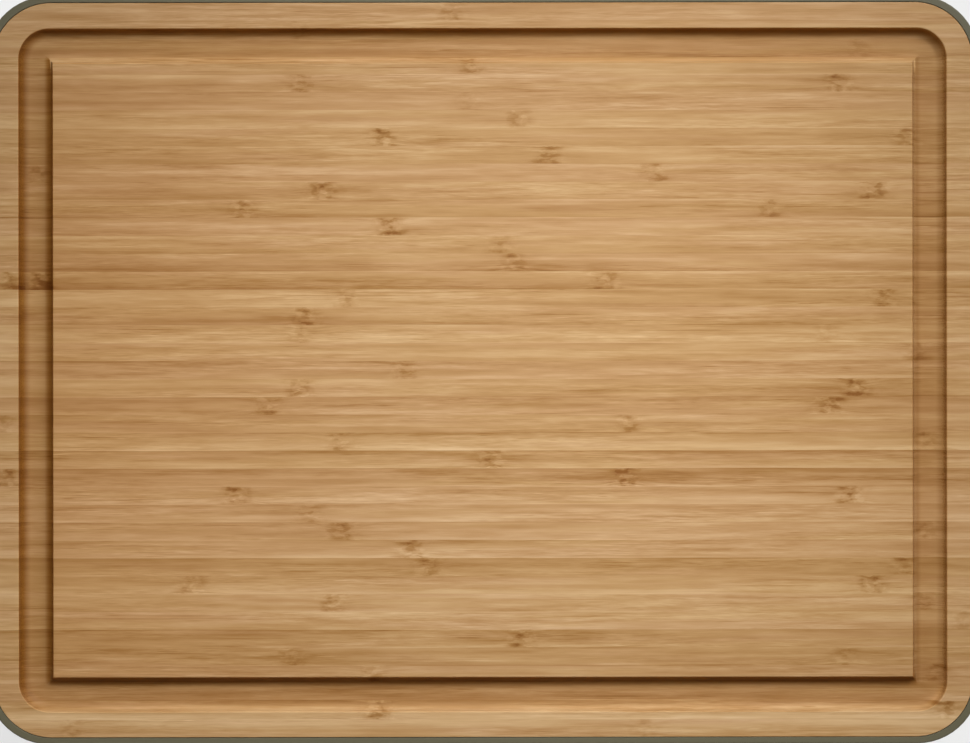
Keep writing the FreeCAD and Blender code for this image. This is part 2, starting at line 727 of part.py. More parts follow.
def make_base_screws():
    screws = []
    for x, y in base_screw_places():
        cone = {"Radius1": "base_screw_head", "Radius2": "screw_shank", "Height": "base_screw_cone"}
        head = primitive("Cone", cone)
        place = (x, y, "foot_stand")
        screws.append(make_screw(head, "0", "base_screw_length", place, FreeCAD.Rotation()))
    group("base_screws", screws)


def make_front_screws(side, mirror):
    """Two screws that clamp a tray's front wall to its front, with their heads inside the tray."""
    screws = []
    forward = FreeCAD.Rotation(FreeCAD.Vector(0, 0, 1), FreeCAD.Vector(0, -1, 0))
    for x in BOTH_WAYS:
        head = primitive("Cylinder", {"Radius": "front_screw_head", "Height": "front_screw_head_height"})
        across = f"{mirror} * tray_middle + {x} * front_boss_off"
        place = (across, "front_screw_head_height - front_boss_back", "front_boss_height")
        length = "front_screw_head_height + front_screw_depth - fit_gap"
        screws.append(make_screw(head, "0", length, place, forward))
    group(f"front_screws_{side}", screws)


def build():
    fill_sheet()
    make_board()
    make_shell()
    make_base()
    make_base_screws()
    make_partition()
    for side, x in SIDES:
        walls = (("outer", f"{x} * inner_half_length", -x), ("inner", f"{x} * partition_half", x))
        for place, wall, inward in walls:
            make_runner(side, place, wall, inward)
            make_stop(side, place, wall, inward)
        make_tray(side, x)
        make_front(side, x)
        make_front_screws(side, x)
    for name, x, y in CORNERS:
        make_foot(name, x, y)
        make_board_pad(name, x, y)
    DOC.recompute()


def check():
    for item in DOC.Objects:
        if "Invalid" in item.State or "Error" in item.State:
            raise ValueError(f"{item.Label} ({item.Name}) is {item.State}")
    for node in NODES:
        if node.Shape.isNull() or not node.Shape.isValid():
            raise ValueError(f"{node.Label} has no valid shape")


def write():
    os.makedirs("parts", exist_ok=True)
    for node in NODES:
        node.Shape.exportStep(f"parts/{node.Label}.step")
        print(node.Label, len(node.Shape.Solids), round(node.Shape.Volume, 1))


build()
check()
write()
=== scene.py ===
import json
import math
import random

import bmesh
import bpy
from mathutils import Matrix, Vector


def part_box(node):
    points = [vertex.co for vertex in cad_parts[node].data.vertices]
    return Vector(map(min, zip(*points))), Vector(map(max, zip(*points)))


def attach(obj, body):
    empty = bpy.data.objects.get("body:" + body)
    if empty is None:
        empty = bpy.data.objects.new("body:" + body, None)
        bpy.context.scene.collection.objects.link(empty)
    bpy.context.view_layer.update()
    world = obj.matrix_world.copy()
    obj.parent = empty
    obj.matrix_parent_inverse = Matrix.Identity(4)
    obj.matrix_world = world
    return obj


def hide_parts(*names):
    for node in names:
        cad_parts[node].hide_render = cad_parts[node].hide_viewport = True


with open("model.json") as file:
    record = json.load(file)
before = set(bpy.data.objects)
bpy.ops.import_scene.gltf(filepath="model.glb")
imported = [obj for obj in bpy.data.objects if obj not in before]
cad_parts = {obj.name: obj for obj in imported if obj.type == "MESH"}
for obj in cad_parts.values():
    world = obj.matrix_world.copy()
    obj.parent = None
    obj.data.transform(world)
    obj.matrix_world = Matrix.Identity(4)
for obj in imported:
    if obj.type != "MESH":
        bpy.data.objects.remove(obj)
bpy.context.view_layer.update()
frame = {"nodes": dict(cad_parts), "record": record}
MM = 0.001

# The board's shape, in metres. Its outside comes from the frame.
BOARD_CORNER = 21.4 * MM
BOARD_ROUND = 0.2 * MM
GROOVE_INSET = 9.6 * MM
GROOVE_WIDTH = 12.2 * MM
GROOVE_DEPTH = 4.2 * MM
GROOVE_ROUND = 3.6 * MM  # of its lower corners, in section
GROOVE_CORNER = 11 * MM  # of its outer side, from above
GROOVE_EASE = 0.6 * MM  # how far its upper edges are sanded round

# The pads that the board lies on, in metres
PAD_ROUND = 0.2 * MM
PAD_SHOULDER = 1.3 * MM
PAD_CROWN = 0.5 * MM

# How finely the meshes are made
CORNER_STEPS = 24
ROUND_STEPS = 8
MERGE_DISTANCE = 0.001 * MM
SHARP_DEGREES = 30

# The bamboo strips, from the back edge to the front one: how light each is on its left and on its
# right, how much lighter its front side is than its back side, and its knuckles. A knuckle is a share
# of the board's length from the left, and how dark it is.
STRIP_SHARES = (
    (0.0, 0.0, 0.0, ((0.467, 0.6),)),
    (0.5, 0.5, 0.5, ((0.314, 0.3),)),
    (0.0, 0.0, -0.5, ((0.886, 0.4),)),
    (0.5, 0.5, 0.0, ((0.489, 0.6),)),
    (0.0, 0.0, -1.0, ((0.315, 0.6), (0.864, 0.8))),
    (-0.5, 0.0, 0.0, ((0.486, 0.3),)),
    (1.0, 1.0, 0.5, ((0.537, 0.6),)),
    (0.0, -0.5, -0.5, ((0.399, 0.9), (0.934, 0.8))),
    (-0.5, 0.5, -1.0, ((0.567, 0.8),)),
    (0.5, 0.5, 0.0, ((0.044, 0.7), (0.675, 0.7))),
    (-1.0, 1.0, -0.5, ((0.336, 1.0), (0.900, 1.0))),
    (-1.0, -1.0, -1.0, ((0.256, 0.8), (0.793, 0.5))),
    (0.5, 0.5, 0.0, ((0.404, 1.0),)),
    (0.0, 0.0, -1.0, ((0.518, 0.5),)),
    (-1.5, -0.5, -1.5, ((0.533, 0.6),)),
    (-2.0, -1.0, -2.0, ((0.016, 0.9), (0.047, 1.0), (0.625, 0.8))),
    (2.0, -1.5, 0.0, ((0.360, 0.6), (0.910, 0.7))),
    (-1.0, -0.5, -1.0, ((0.319, 0.8),)),
    (1.5, 1.0, 1.0, ((0.314, 0.5), (0.851, 0.4))),
    (0.5, 0.5, 0.0, ((0.944, 0.6),)),
    (-0.5, 0.0, 1.0, ((0.420, 0.6),)),
    (1.0, -1.0, 0.0, ((0.314, 0.8), (0.882, 1.0))),
    (-1.0, -1.0, 1.0, ((0.279, 0.8), (0.854, 1.0))),
    (-0.5, 0.0, 0.0, ((0.010, 0.5), (0.650, 0.6))),
    (1.0, 1.0, 2.0, ((0.355, 0.7), (0.956, 0.6))),
    (-0.5, -0.5, 2.0, ((0.508, 0.9),)),
    (-1.0, -2.5, 1.0, ((0.013, 0.9), (0.645, 1.0))),
    (1.0, 1.0, 1.0, ((0.248, 0.9), (0.875, 1.0))),
    (1.0, 1.0, 1.0, ((0.324, 0.6),)),
    (0.0, 1.0, 1.0, ((0.355, 0.8), (0.953, 0.6))),
    (1.0, 0.5, 1.0, ((0.426, 0.9),)),
    (-1.5, -1.5, 1.0, ((0.444, 0.8), (0.929, 0.6))),
    (1.0, 1.0, 1.5, ((0.202, 0.8), (0.897, 1.0))),
    (1.0, 1.5, -0.5, ((0.347, 0.8), (0.953, 0.5))),
    (1.0, 1.5, -0.5, ((0.988, 0.4),)),
    (-1.5, -1.0, 1.0, ((0.540, 1.0),)),
    (-1.5, -1.0, 0.0, ((0.304, 0.7), (0.869, 0.5))),
    (0.0, 0.0, 0.5, ((0.386, 0.7), (0.962, 0.6))),
    (-1.0, -0.5, 0.0, ()),
    # The last two strips are lighter where they meet, along the front groove's outer edge: partly their
    # own tone, partly a painted highlight on that edge.
    (1.2, 1.5, 2.5, ((0.393, 1.0), (0.973, 0.8))),
    (1.4, 1.7, -1.5, ((0.080, 0.5), (0.663, 0.4))),
)
MOST_KNUCKLES = 3
FAR_AWAY = 9.0  # where a strip's unused knuckles go, metres
STRIP_SEED = 11

# The bamboo's material counts in millimetres, and its light runs from 0, dark, to 1, pale.
# Each kind of grain: how fast it changes along a strip and across it, and how detailed it is.
GRAIN = {
    "bands": (0.016, 0.36, 2.0),
    "patches": (0.06, 0.42, 2.0),
    "streaks": (0.05, 0.95, 3.0),
    "fine": (0.18, 2.8, 2.0),
    "threads": (0.013, 1.7, 2.0),
    "dashes": (0.07, 2.0, 2.0),
    "strength": (0.009, 0.13, 2.0),
    "hue": (0.012, 0.2, 2.0),
}
NOISE_MIDDLE = 0.5  # what noise swings about
GRAIN_DOWN_SHARE = 0.12  # how fast the grain changes down through the groove, against across
BOARD_SIDE_DEPTH = 5.0  # from here down it changes faster, on the board's sides
STRIP_SHIFT = 900.0  # how far apart in the noise two strips can lie, along
STRIP_FAR = 400.0  # and across
MIDDLE_LIGHT = 0.5
TONE_TURN = 90.0  # this far left or right of the board's middle, a strip has its left or right tone
TONE_SHARE = 0.05
STRIP_MIDDLE_SHARE = 0.5
LEAN_SHARE = 0.14
# How much each kind of grain lightens the wood, and between which heights of its noise it sets in
BAND_SHARE = 0.55
PATCH_SHARE = 0.24
STREAK_SHARE = 0.3
FINE_SHARE = 0.2
DARK_THREAD_SHARE = -0.12
DARK_THREAD_EDGES = (0.11, 0.2)
DARK_DASH_SHARE = -0.13
DARK_DASH_EDGES = (0.12, 0.25)
PALE_DASH_SHARE = 0.1
PALE_DASH_EDGES = (-0.12, -0.25)
# Streaks, threads and dashes are stronger in some places than in others
STRENGTH_EDGES = (-0.12, 0.14)
STRENGTH_LEAST = 0.4
STRENGTH_GAIN = 1.3
# Glue seams: their width, how much they differ from the wood, and how fast that changes along and across
SEAM_WIDTH_SHARE = 0.06
SEAM_LIGHT = 0.3
SEAM_SPEEDS = (0.012, 0.08)
SEAM_SHIFT = 2.0  # where their noise is read, across
SEAM_LAYER = 3.0  # and in depth
# Fibres drift, and draw together and curl at a knuckle
DRIFT = 0.4
DRIFT_SPEED = 0.012
PINCH_SHARE = 0.45
PINCH_REACH = 8.0
CURL = 1.6
CURL_SPEED = 0.27
CURL_REACH = 3.5
# A knuckle's marks: how far each reaches along the strip, and how much it lightens the wood
KNUCKLE_STRENGTH = 1.18
KNUCKLE_LOWEST_SHARE = 0.25  # of the strip's width: the place nearest its front for a knuckle's middle
KNUCKLE_SPREAD_SHARE = 0.5  # and how far back from there it can lie
BODY_REACH = 4.6
BODY_SHARE = -0.06
STROKE_SPEEDS = (0.25, 0.5)
STROKE_EDGES = (0.5, 0.66)
STROKE_REACH = 4.8
STROKE_SHARE = -0.22
FLECK_EDGES = (0.47, 0.35)
FLECK_REACH = 5.5
FLECK_SHARE = 0.15
SIDE_DASH_REACH = 3.6
SIDE_DASH_SPREAD = 6.0  # the length of the stretch at its knuckle where it can lie
SIDE_DASH_WIDTH_SHARE = 0.11
BACK_DASH_PLACE_SHARE = 0.84  # of the strip's width, from its front
FRONT_DASH_PLACE_SHARE = 0.14
SIDE_DASH_SHARE = -0.34
TAIL_REACH = 15.0
TAIL_SPREAD = 30.0  # the length of the stretch at its knuckle where it can lie
TAIL_WIDTH = 1.6
TAIL_EDGES = (-0.12, 0.12)
TAIL_SHARE = -0.16
# Colours of the wood by its light, and the tints of its fibres
BAMBOO_TONES = (
    (0.0, (0.245, 0.097, 0.020)),
    (0.25, (0.378, 0.192, 0.061)),
    (0.5, (0.518, 0.303, 0.130)),
    (0.75, (0.660, 0.432, 0.223)),
    (1.0, (0.790, 0.565, 0.335)),
)
YELLOW_TINT = (1.0, 1.0, 0.97, 1.0)
PINK_TINT = (1.0, 0.982, 1.01, 1.0)
TINT_EDGES = (0.0, 0.3)
TINT_STRIP_SHARE = 0.3  # how much of the tint goes by the strip
BAMBOO_ROUGHNESS = 0.56
STREAK_ROUGHNESS = 0.3
BAMBOO_BUMP = 0.1 * MM
BAMBOO_BUMP_STRENGTH = 0.4
STREAK_BUMP_SHARE = 0.6
BAMBOO_SPECULAR = 0.12

# Stains and painted shade on the bamboo, which multiply its colour
# The groove is darker towards its floor: partly a stain, partly painted shade in the hollow
GROOVE_STAIN_AND_SHADE = (0.79, 0.72, 0.6, 1)
GROOVE_STAIN_AND_SHADE_SHARES = (0.7, 1.0)  # of the groove's depth: where it starts, and where it is full
# The dark colour of oiled end grain, which the groove's sides also take as painted shade
END_GRAIN_STAIN_AND_SHADE = (0.45, 0.3, 0.11, 1)
# Painted shade that warms and deepens the groove's shadowed sides
WARM_SHADE = (1.0, 0.81, 0.42, 1)
# The ends of fibres show as dots where the surface faces left or right
END_DOT_SCALE = 1.3
END_DOT_EDGES = (0.15, 0.4)
END_DOT_SHARE = 0.35
END_FACE_EDGES = (0.5, 0.9)
# The raised middle is darker and warmer towards its left and right ends: painted shade where the light
# falls off. How dark each end is painted, and how far from the board's middle that starts and is full.
RAISED_LEFT_SHADE = (0.944, 0.875, 0.786, 1)
RAISED_RIGHT_SHADE = (0.943, 0.928, 0.88, 1)
RAISED_SHADE_START = 15.0
RAISED_SHADE_FULL = 170.0
# How the sides of the groove and of the board took the oil, and where shade is painted on them: the
# steepness at which its stain starts, the one at which it is full, how much it darkened the side, and how
# much it only warmed it. On the board's ends it is oil in the end grain. In the groove the darkening is
# partly oil in the end grain and partly painted shade on the walls and their lower corners, and the
# warming is painted shade on the shadowed sides.
OIL_AND_SHADE_SHARES = {
    ("left", "outer"): (0.05, 0.65, 1.0, 0.0),
    ("left", "inner"): (0.0, 0.5, 0.55, 1.0),
    ("right", "outer"): (0.3, 0.8, 0.1, 0.6),
    ("right", "inner"): (0.0, 0.4, 0.42, 0.0),
    ("back", "outer"): (0.25, 0.75, 0.6, 1.0),
    ("back", "inner"): (0.5, 0.9, 0.0, 0.0),
    ("front", "outer"): (0.1, 0.6, 0.1, 0.0),
    ("front", "inner"): (0.1, 0.6, 0.6, 0.9),
    ("ends", "board"): (0.15, 0.8, 0.5, 0.0),
}
EASE_OIL_AND_SHADE_DEPTH = 0.2 * MM  # how deep down the sanded edges the oil and the painted shade are full

# Plastics by slot: colour, roughness, width of the moulded texture in metres, and its strength
PLASTICS = {
    "sage_plastic": ((0.108, 0.096, 0.053), 0.55, 0.45 * MM, 0.35),
    "tray_plastic": ((0.42, 0.40, 0.31), 0.42, 0.6 * MM, 0.15),
    "runner_plastic": ((0.72, 0.71, 0.67), 0.38, 0.6 * MM, 0.1),
}
PLASTIC_CLOUD_SCALE = 9.0
PLASTIC_CLOUD_SHARE = 0.6  # the rest of the tone goes by the texture
PLASTIC_TONE_SHARES = ((0.3, 0.93), (0.7, 1.07))  # a place on the ramp, and how light it is there
PLASTIC_GLOSS_SWING = 0.08
PLASTIC_BUMP = 0.05 * MM
PLASTIC_SPECULAR = 0.4

# Rubbers by slot
RUBBERS = {
    "foot_rubber": (0.04, 0.04, 0.037),
    "soft_pad": (0.30, 0.29, 0.26),
}
RUBBER_GRAIN = 0.6 * MM
RUBBER_DUST_SCALE = 60.0
RUBBER_DUST_SHARE = 0.7  # the rest of the tone goes by the grain
RUBBER_TONE_SHARES = ((0.3, 1.0), (0.8, 1.5))  # a place on the ramp, and how light it is there
RUBBER_ROUGHNESS = 0.72
RUBBER_ROUGHNESS_SWING = 0.16
RUBBER_BUMP = 0.06 * MM
RUBBER_BUMP_STRENGTH = 0.5
RUBBER_SPECULAR = 0.3

# Steel of the screws
STEEL_MARKS = 0.25 * MM
STEEL_TONES = ((0.2, (0.42, 0.42, 0.43)), (0.8, (0.62, 0.62, 0.63)))
STEEL_ROUGHNESS = 0.26
STEEL_ROUGHNESS_SWING = 0.18
STEEL_BUMP = 0.02 * MM
STEEL_BUMP_STRENGTH = 0.5

# The floor. The camera sees it paler than it lights the object.
FLOOR_REACH = 12.0
FLOOR_CLOUD_SCALE = 1.5
FLOOR_TONES = ((0.3, (0.84, 0.84, 0.835)), (0.7, (0.87, 0.87, 0.865)))
FLOOR_ROUGHNESS = 0.7
FLOOR_SPECULAR = 0.1
FLOOR_SEEN_COLOR = (0.985, 0.985, 0.985, 1)
FLOOR_SEEN_SHARE = 0.75

# The photograph's frame, and where the board's middle lies in it
PHOTO_WIDTH_PX = 970
PHOTO_HEIGHT_PX = 743
BOARD_MIDDLE_PX = (482.8, 369.8)
METRES_PER_PX = 0.3673 * MM
LENS_MM = 100
SENSOR_MM = 36
CAMERA_TURN_DEGREES = -0.07

# Light. Together the lamps and the sky light a flat white surface to about 1.
# The soft box is a wide field of spots close behind the board, at its right.
BOX_PLACE = Vector((0.22, 0.42, 0.70))
BOX_AIM = Vector((-0.025, -0.062, 0.066))
BOX_ROWS = 3
BOX_COLUMNS = 5
BOX_ROW_SPACING = 0.13
BOX_COLUMN_SPACING = 0.155
BOX_AIM_SPACING = 0.12  # how far apart its rows aim, back to front
BOX_ENERGY = 34.7  # of all its spots together
BOX_REACH = 0.4  # how far from the aim a spot's light ends
SPOT_RADIUS = 0.06
SPOT_COLOR = (0.98, 1.0, 1.04)
SUN_PLACE = Vector((0.25, 0.7, 0.9))
SUN_ENERGY = 0.53
SUN_ANGLE_DEGREES = 25
SUN_COLOR = (1.0, 0.93, 0.8)
SKY_STRENGTH = 0.012
SKY_COLOR = (1.0, 0.88, 0.7, 1)
HORIZON_STRENGTH = 1.7  # lights the sides, and hardly reaches the top or into the groove
HORIZON_SINE = 0.25  # of the height angle where the horizon's light ends
SKY_SEEN_COLOR = (0.86, 0.86, 0.855, 1)


class Nodes:
    """A node tree. Most methods add a node and give back the socket that it ends in."""

    def __init__(self, tree):
        self.tree = tree

    def node(self, kind, **settings):
        node = self.tree.nodes.new(f"ShaderNode{kind}")
        for name, value in settings.items():
            setattr(node, name, value)
        return node

    def put(self, socket, value):
        if isinstance(value, bpy.types.NodeSocket):
            self.tree.links.new(value, socket)
        else:
            socket.default_value = value

    def position(self):
        return self.node("TexCoord").outputs["Object"]

    def normal(self):
        return self.node("TexCoord").outputs["Normal"]

    def stored_vector(self, name):
        return self.node("Attribute", attribute_name=name).outputs["Vector"]

    def stored_number(self, name):
        return self.node("Attribute", attribute_name=name).outputs["Fac"]

    def split(self, vector):
        node = self.node("SeparateXYZ")
        self.put(node.inputs[0], vector)
        return node.outputs

    def join(self, x, y, z):
        node = self.node("CombineXYZ")
        for socket, value in zip(node.inputs, (x, y, z)):
            self.put(socket, value)
        return node.outputs[0]

    def math(self, operation, *values):
        node = self.node("Math", operation=operation)
        for socket, value in zip(node.inputs, values):
            self.put(socket, value)
        return node.outputs[0]

    def add(self, first, *others):
        for other in others:
            first = self.math("ADD", first, other)
        return first

    def times(self, first, *others):
        for other in others:
            first = self.math("MULTIPLY", first, other)
        return first

    def minus(self, first, second):
        return self.math("SUBTRACT", first, second)

    def absolute(self, value):
        return self.math("ABSOLUTE", value)

    def noise(self, vector, scale=1.0, detail=2.0, roughness=0.5):
        node = self.node("TexNoise")
        self.put(node.inputs["Vector"], vector)
        self.put(node.inputs["Scale"], scale)
        self.put(node.inputs["Detail"], detail)
        self.put(node.inputs["Roughness"], roughness)
        return node.outputs["Fac"]

    def swing(self, vector, reach, scale=1.0):
        """Plain noise about zero, from minus reach to reach."""
        noise = self.noise(vector, scale, detail=1.0)
        return self.times(self.minus(noise, NOISE_MIDDLE), 2 * reach)

    def step(self, value, low, high, start=0.0, end=1.0):
        """Goes smoothly from start, where the value is low, to end, where it is high."""
        node = self.node("MapRange", interpolation_type="SMOOTHSTEP")
        names = ("Value", "From Min", "From Max", "To Min", "To Max")
        for name, number in zip(names, (value, low, high, start, end)):
            self.put(node.inputs[name], number)
        return node.outputs["Result"]

    def bell(self, value, width):
        """1 at zero, falling off on both sides."""
        share = self.math("DIVIDE", value, width)
        return self.math("EXPONENT", self.times(share, share, -1.0))

    def choose(self, share, first, second):
        node = self.node("Mix", data_type="FLOAT")
        self.put(node.inputs[0], share)
        self.put(node.inputs[2], first)
        self.put(node.inputs[3], second)
        return node.outputs[0]

    def blend(self, share, first, second, kind="MIX"):
        node = self.node("Mix", data_type="RGBA", blend_type=kind)
        self.put(node.inputs[0], share)
        self.put(node.inputs[6], first)
        self.put(node.inputs[7], second)
        return node.outputs[2]

    def ramp(self, value, stops):
        node = self.node("ValToRGB")
        self.put(node.inputs[0], value)
        elements = node.color_ramp.elements
        while len(elements) < len(stops):
            elements.new(1.0)
        for element, (place, color) in zip(elements, stops):
            element.position = place
            element.color = (*color, 1.0)
        return node.outputs["Color"]

    def bump(self, height, distance, strength):
        node = self.node("Bump")
        self.put(node.inputs["Height"], height)
        self.put(node.inputs["Distance"], distance)
        self.put(node.inputs["Strength"], strength)
        return node.outputs["Normal"]

    def seen(self):
        """1 for rays from the camera, a mirror or glass, and 0 for all others."""
        path = self.node("LightPath").outputs
        rays = path["Is Camera Ray"]
        for name in ("Is Glossy Ray", "Is Transmission Ray"):
            rays = self.math("MAXIMUM", rays, path[name])
        return rays

    def mix_shaders(self, share, first, second):
        node = self.node("MixShader")
        for socket, value in zip(node.inputs, (share, first, second)):
            self.put(socket, value)
        return node.outputs[0]


class Material(Nodes):
    """A node material."""

    def __init__(self, name):
        self.material = bpy.data.materials.new(name)
        self.material.use_nodes = True
        super().__init__(self.material.node_tree)
        self.surface = self.tree.nodes["Principled BSDF"]

    def finish(self, color, roughness, normal=None, **uniform):
        self.put(self.surface.inputs["Base Color"], color)
        self.put(self.surface.inputs["Roughness"], roughness)
        if normal is not None:
            self.put(self.surface.inputs["Normal"], normal)
        for name, value in uniform.items():
            self.surface.inputs[name.replace("_", " ")].default_value = value
        return self.material


class Bamboo(Material):
    """Side-pressed bamboo: straight fibres along X, one strip beside the other, with dark knuckles."""

    def __init__(self, pitch, front, top):
        super().__init__("bamboo")
        point = self.split(self.position())
        self.x, self.y, self.z = (self.times(point[axis], 1 / MM) for axis in range(3))
        self.depth = self.minus(top / MM, self.z)
        self.strip_width = pitch / MM
        from_front = self.add(self.y, -front / MM)
        self.across = self.math("FRACT", self.times(from_front, 1 / self.strip_width))
        seeds = self.split(self.stored_vector("strip_seeds"))
        self.shift = self.times(seeds[0], STRIP_SHIFT)
        self.far = self.times(seeds[1], STRIP_FAR)
        self.tint_luck = seeds[2]
        side_depth = self.math("MAXIMUM", self.add(self.depth, -BOARD_SIDE_DEPTH), 0.0)
        self.down = self.add(self.times(self.depth, GRAIN_DOWN_SHARE), side_depth)
        self.find_knuckle()
        self.bend_fibres()
        self.streaks = self.fibres("streaks")
        self.fine = self.fibres("fine")

    def find_knuckle(self):
        """Finds the nearest knuckle on this strip: how far it is, how dark, and its own chances."""
        places = self.split(self.stored_vector("knuckle_places"))
        darkness = self.split(self.stored_vector("knuckle_darkness"))
        place = self.times(places[0], 1 / MM)
        self.away = self.minus(self.x, place)
        self.dark = darkness[0]
        for index in range(1, MOST_KNUCKLES):
            other_place = self.times(places[index], 1 / MM)
            other_away = self.minus(self.x, other_place)
            nearer = self.math("LESS_THAN", self.absolute(other_away), self.absolute(self.away))
            place = self.choose(nearer, place, other_place)
            self.away = self.choose(nearer, self.away, other_away)
            self.dark = self.choose(nearer, self.dark, darkness[index])
        luck = self.node("TexWhiteNoise", noise_dimensions="1D")
        self.put(luck.inputs["W"], place)
        self.height_luck, self.front_luck, self.back_luck = self.split(luck.outputs["Color"])
        middle = self.add(self.times(self.height_luck, KNUCKLE_SPREAD_SHARE), KNUCKLE_LOWEST_SHARE)
        self.off = self.times(self.minus(self.across, middle), self.strip_width)

    def bend_fibres(self):
        """Works out where a fibre would lie across the board if it were straight."""
        drift_place = self.join(self.times(self.x, DRIFT_SPEED), self.shift, 0.0)
        drift = self.swing(drift_place, DRIFT)
        pinch = self.times(self.bell(self.away, PINCH_REACH), self.dark, self.off, PINCH_SHARE)
        curl = self.swing(self.join(self.x, self.y, self.shift), CURL, CURL_SPEED)
        curl = self.times(curl, self.bell(self.away, CURL_REACH), self.dark)
        self.bent_y = self.add(self.y, drift, pinch, curl)

    def fibres(self, kind):
        """Noise about zero that is drawn out along the fibres."""
        along, across, detail = GRAIN[kind]
        place = self.join(
            self.add(self.times(self.x, along), self.shift),
            self.add(self.times(self.bent_y, across), self.far),
            self.times(self.down, across),
        )
        return self.minus(self.noise(place, detail=detail), NOISE_MIDDLE)

    def strip_tone(self):
        """The strip's own light, from its left to its right and from its back to its front."""
        tones = self.split(self.stored_vector("strip_tones"))
        rightward = self.step(self.x, -TONE_TURN, TONE_TURN)
        tone = self.times(self.choose(rightward, tones[0], tones[1]), TONE_SHARE)
        lean = self.times(self.minus(STRIP_MIDDLE_SHARE, self.across), tones[2], LEAN_SHARE)
        return self.add(MIDDLE_LIGHT, tone, lean)

    def grain(self):
        """Broad bands, patches, streaks and fine grain, with dark and pale threads."""
        strong = self.step(self.fibres("strength"), *STRENGTH_EDGES)
        strength = self.add(self.times(strong, STRENGTH_GAIN), STRENGTH_LEAST)
        threads = self.fibres("threads")
        dashes = self.fibres("dashes")
        return self.add(
            self.times(self.fibres("bands"), BAND_SHARE),
            self.times(self.fibres("patches"), PATCH_SHARE),
            self.times(self.streaks, strength, STREAK_SHARE),
            self.times(self.fine, strength, FINE_SHARE),
            self.times(self.step(threads, *DARK_THREAD_EDGES), strength, DARK_THREAD_SHARE),
            self.times(self.step(dashes, *DARK_DASH_EDGES), strength, DARK_DASH_SHARE),
            self.times(self.step(dashes, *PALE_DASH_EDGES), strength, PALE_DASH_SHARE),
        )

    def seams(self):
        """Glue seams, darker than the wood in some places and paler in others."""
        edge = self.math("MINIMUM", self.across, self.minus(1.0, self.across))
        seam = self.minus(1.0, self.step(edge, 0.0, SEAM_WIDTH_SHARE))
        along, across = SEAM_SPEEDS
        moved_y = self.add(self.y, SEAM_SHIFT)
        place = self.join(self.times(self.x, along), self.times(moved_y, across), SEAM_LAYER)
        return self.times(seam, self.swing(place, SEAM_LIGHT))

    def beside_knuckle(self, luck, spread):
        """How far along the strip a mark is that lies by chance beside its knuckle."""
        return self.add(self.away, self.times(luck, spread), -spread / 2)

    def side_dash(self, luck, place_share):
        """A dash at one edge of the strip."""
        along = self.bell(self.beside_knuckle(luck, SIDE_DASH_SPREAD), SIDE_DASH_REACH)
        return self.times(along, self.bell(self.add(self.across, -place_share), SIDE_DASH_WIDTH_SHARE))

    def knuckle(self):
        """A brown spot with ragged strokes, pale flecks, dark dashes at the strip's edges and a tail."""
        along, across = STROKE_SPEEDS
        curls = self.noise(self.join(self.times(self.x, along), self.times(self.y, across), self.far))
        strokes = self.times(self.step(curls, *STROKE_EDGES), self.bell(self.away, STROKE_REACH))
        flecks = self.times(self.step(curls, *FLECK_EDGES), self.bell(self.away, FLECK_REACH))
        back_dash = self.side_dash(self.back_luck, BACK_DASH_PLACE_SHARE)
        front_dash = self.side_dash(self.front_luck, FRONT_DASH_PLACE_SHARE)
        tail = self.times(
            self.bell(self.beside_knuckle(self.front_luck, TAIL_SPREAD), TAIL_REACH),
            self.bell(self.off, TAIL_WIDTH),
            self.step(self.streaks, *TAIL_EDGES),
        )
        marks = self.add(
            self.times(self.bell(self.away, BODY_REACH), BODY_SHARE),
            self.times(strokes, STROKE_SHARE),
            self.times(flecks, FLECK_SHARE),
            self.times(back_dash, self.height_luck, SIDE_DASH_SHARE),
            self.times(front_dash, self.minus(1.0, self.height_luck), SIDE_DASH_SHARE),
            self.times(tail, TAIL_SHARE),
        )
        return self.times(marks, self.dark, KNUCKLE_STRENGTH)

    def wood(self):
        """The colour of the bare wood. Some fibres are pinker and some yellower."""
        light = self.add(self.strip_tone(), self.grain(), self.seams(), self.knuckle())
        hue = self.add(self.fibres("hue"), self.times(self.tint_luck, TINT_STRIP_SHARE))
        tint = self.blend(self.step(hue, *TINT_EDGES), YELLOW_TINT, PINK_TINT)
        return self.stain_and_shade(self.ramp(light, BAMBOO_TONES), 1.0, tint)

    # Multiplies a colour: for the wood's tints and stains, and for painted shade
    def stain_and_shade(self, color, share, stain_and_shade):
        return self.blend(share, color, stain_and_shade, "MULTIPLY")

    def shade_raised_ends(self, color, half_x, half_y):
        """Paints shade on the raised middle towards its left and right ends."""
        raised = self.times(
            self.math("LESS_THAN", self.absolute(self.x), half_x / MM),
            self.math("LESS_THAN", self.absolute(self.y), half_y / MM),
            self.math("LESS_THAN", self.depth, GROOVE_DEPTH / MM),
        )
        for way, stain_and_shade in ((-1.0, RAISED_LEFT_SHADE), (1.0, RAISED_RIGHT_SHADE)):
            share = self.step(self.times(self.x, way), RAISED_SHADE_START, RAISED_SHADE_FULL)
            color = self.stain_and_shade(color, self.times(raised, share), stain_and_shade)
        return color

